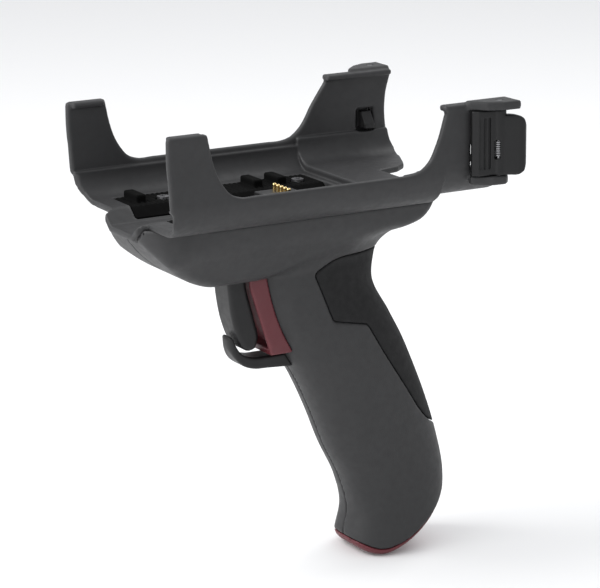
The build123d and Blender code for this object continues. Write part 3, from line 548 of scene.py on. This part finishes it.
def cradle(x, y, z):
    """The open cradle: a U pulled along Y, cut to its side view, with its lips, ears and openings."""
    across = np.abs(x)

    def hollow(lift):
        lower = common(across - LOW_X, SHELF_Z + lift - z, 8)
        return joined(lower, common(across - INNER_X, SHELF_Z + lift + LEDGE_RISE - z, 0.3))

    step_y = FLOOR_STEP_Y + (KEEL_END_Y - FLOOR_STEP_Y) * np.clip((29.2 - across) / 4, 0, 1)
    outer = joined(common(common(across - HALF_WIDTH, CREASE_Z - z, CORNER), y - step_y),
                   common(across - HALF_WIDTH, CREASE_Z + LIFT - z, CORNER))
    outer = joined(outer, common(polygon(trough_under, x, z) + 0 * y, y - TROUGH_END_Y))
    inner = joined(common(hollow(0), y - TROUGH_END_Y), hollow(LIFT))
    inner = joined(inner, common(polygon(trough_open, x, z) + 0 * y, y - TROUGH_END_Y + 2.4), 0.6)
    side_view = np.where(x > 0, polygon(right_side, y, z), polygon(left_side, y, z))
    wall = common(without(outer, inner, 0.5), side_view, 1.0)
    wall = without(wall, common(polygon(rear_edge, x, y), z - 85), 0.8)
    wall = without(wall, common(polygon(front_edge, across, y), z - 88, 2), 0.6)
    rear_lip = np.where(x > 0, 24.8, 23.3), np.where(x > 0, 25.2, 28.2)
    for lip_y, lip_length in ((-90.7, 12.6), rear_lip):
        lip_middle = (INNER_X - 0.9, lip_y, ARM_TOP_Z - LIP_HEIGHT / 2)
        lip = block(across, y, z, lip_middle, (2.6, lip_length, LIP_HEIGHT), 0.8)
        wall = joined(wall, lip, 0.5)
    for ear, low_z in zip((low_ear, top_ear), EARS_Z):
        level = np.abs(z - low_z - EAR_THICKNESS / 2) - EAR_THICKNESS / 2
        bracket = common(polygon(ear, across, y), level, 0.7)
        wall = joined(wall, bracket, 0.8)
    wall = without(wall, block(across, y, z, (HALF_WIDTH, 26.55, 95), (7, 7.7, 9.2), 0.8), 0.4)
    wall = without(wall, np.hypot(across - LATCH_PIN[0], y - LATCH_PIN[1]) - 1.22 + 0 * z)
    bed_length = np.abs(y - STRIP_MIDDLE_Y) - STRIP_HALF_LENGTH - 0.1
    wall = without(wall, common(polygon(pocket, across, z), bed_length), 0.2)
    wall = without(wall, block(x, y, z, (0, -32, 74.4), (15, 15, 12), 0.4), 0.3)
    for at_x, at_y in cradle_screws_at:
        wall = without(wall, common(np.hypot(across - at_x, y - at_y) - 1.4, z - 82))
    return wall


finished(skin("device_cradle_skin", cradle, (-50, -99, 71), (50, 39, 115.2), 0.7), "handle", "grey_plastic",
         "device_cradle")


RIDGE_PITCH = 2.0
# The section runs from the shelf down the trough's slope; the part on the slope is partly painted shade.
strip_and_painted_shade_section = [(29.1, 78.45), (14.55, 78.45), (10.2, 74.8), (9.72, 75.36), (14, 79.3), (29.1, 79.3)]


def seat_strip(x, y, z):
    """A strip on the shelf and the trough's slope: finely ribbed, with blocks that carry the device. Its
    near-black finish and its reach down the slope are partly painted shade of the seat's hollow.
    """
    across = np.abs(x)
    ridges = 0.22 * np.cos(2 * math.pi * y / RIDGE_PITCH)
    strip = common(polygon(strip_and_painted_shade_section, across, z), np.abs(y - STRIP_MIDDLE_Y) - STRIP_HALF_LENGTH, 0.2)
    strip = common(strip, z - 79.1 - ridges)
    for at_y in (-80, -56, -32, -22):
        strip = joined(strip, block(across, y, z, (22.8, at_y, 80.4), (10.8, 4, 3.2), 0.7), 0.5)
    for at_x, at_y in cradle_screws_at:
        strip = without(strip, np.hypot(across - at_x, y - at_y) - 2.6 + 0 * z, 0.3)
    return strip


for side, name in ((1, "right_seat_strip"), (-1, "left_seat_strip")):
    low_x, high_x = sorted((side * 9.6, side * 29.3))
    finished(skin(name + "_skin", seat_strip, (low_x, -86.1, 74.6), (high_x, -6.5, 82.1), 0.45), "handle",
             "seat_rubber", name)

# ---- Latches --------------------------------------------------------------------------------

LEVER_LOW, LEVER_HIGH, PAD_HIGH = 87.9, 111.5, 109.8
plate_plan = [(41.7, 22.2), (43.3, 21.8), (45, 23.6), (45.8, 30), (45.8, 32.4), (44.6, 34.6), (42.5, 34.2)]
plate_plan += [(41.7, 31)]
pad_plan = [(45.2, 32.4), (47, 32.2), (50.4, 37.4), (50.9, 39.4), (50, 40.6), (48.4, 40.2), (43.4, 34.4)]
nose_front = [(42.3, 91.8), (36.2, 91.8), (36.2, 93.8), (39, 98.2), (42.3, 98.2)]


def latch_lever(x, y, z):
    """A latch: ribbed plate with the nose, knuckle on the pin, and a pad flared out for the finger."""
    across = np.abs(x)
    middle, half = (LEVER_LOW + LEVER_HIGH) / 2, (LEVER_HIGH - LEVER_LOW) / 2
    plate = common(polygon(plate_plan, across, y), np.abs(z - middle) - half, 0.5)
    corner = np.clip((y - 36.4) / 4.4, 0, 0.97)
    pad_half = (PAD_HIGH - LEVER_LOW) / 2 - 5 * (1 - np.sqrt(1 - corner ** 2))
    pad = common(polygon(pad_plan, across, y), np.abs(z - (PAD_HIGH + LEVER_LOW) / 2) - pad_half, 0.9)
    from_pin = np.hypot(across - LATCH_PIN[0], y - LATCH_PIN[1])
    knuckle = common(from_pin - 2.6, np.abs(z - middle) - half, 0.3)
    lever = joined(joined(plate, pad, 0.6), knuckle, 0.3)
    for index in range(3):
        groove = block(across, y, z, (46, 24.4 + 1.8 * index, middle), (2.4, 0.8, 2 * half - 5), 0.3)
        lever = without(lever, groove, 0.2)
    nose = common(polygon(nose_front, across, z), np.abs(y - 27.4) - 2.2, 0.5)
    lever = joined(lever, nose, 0.4)
    lever = without(lever, from_pin - 1.25 + 0 * z)
    return without(lever, block(across, y, z, (44.15, LATCH_PIN[1], 97.2), (5.5, 5, 6.8), 0.2), 0.2)


for side, name in ((1, "right"), (-1, "left")):
    low_x, high_x = sorted((side * 36, side * 51.1))
    made = skin(name + "_latch_lever_skin", latch_lever, (low_x, 21.6, 87.7), (high_x, 41, 111.7), 0.35)
    finished(made, name + "_latch", "dark_plastic", name + "_latch_lever")

# ---- Floor ----------------------------------------------------------------------------------

bpy.ops.mesh.primitive_plane_add(size=60, location=(0, 0, cad_box[0][2] - 0.0005))
floor = bpy.context.object
floor.name = "floor"
pale = bpy.data.materials.new("floor")
pale.use_nodes = True
pale.node_tree.nodes["Principled BSDF"].inputs["Base Color"].default_value = (0.93, 0.93, 0.93, 1)
pale.node_tree.nodes["Principled BSDF"].inputs["Roughness"].default_value = 0.7
floor.data.materials.append(pale)
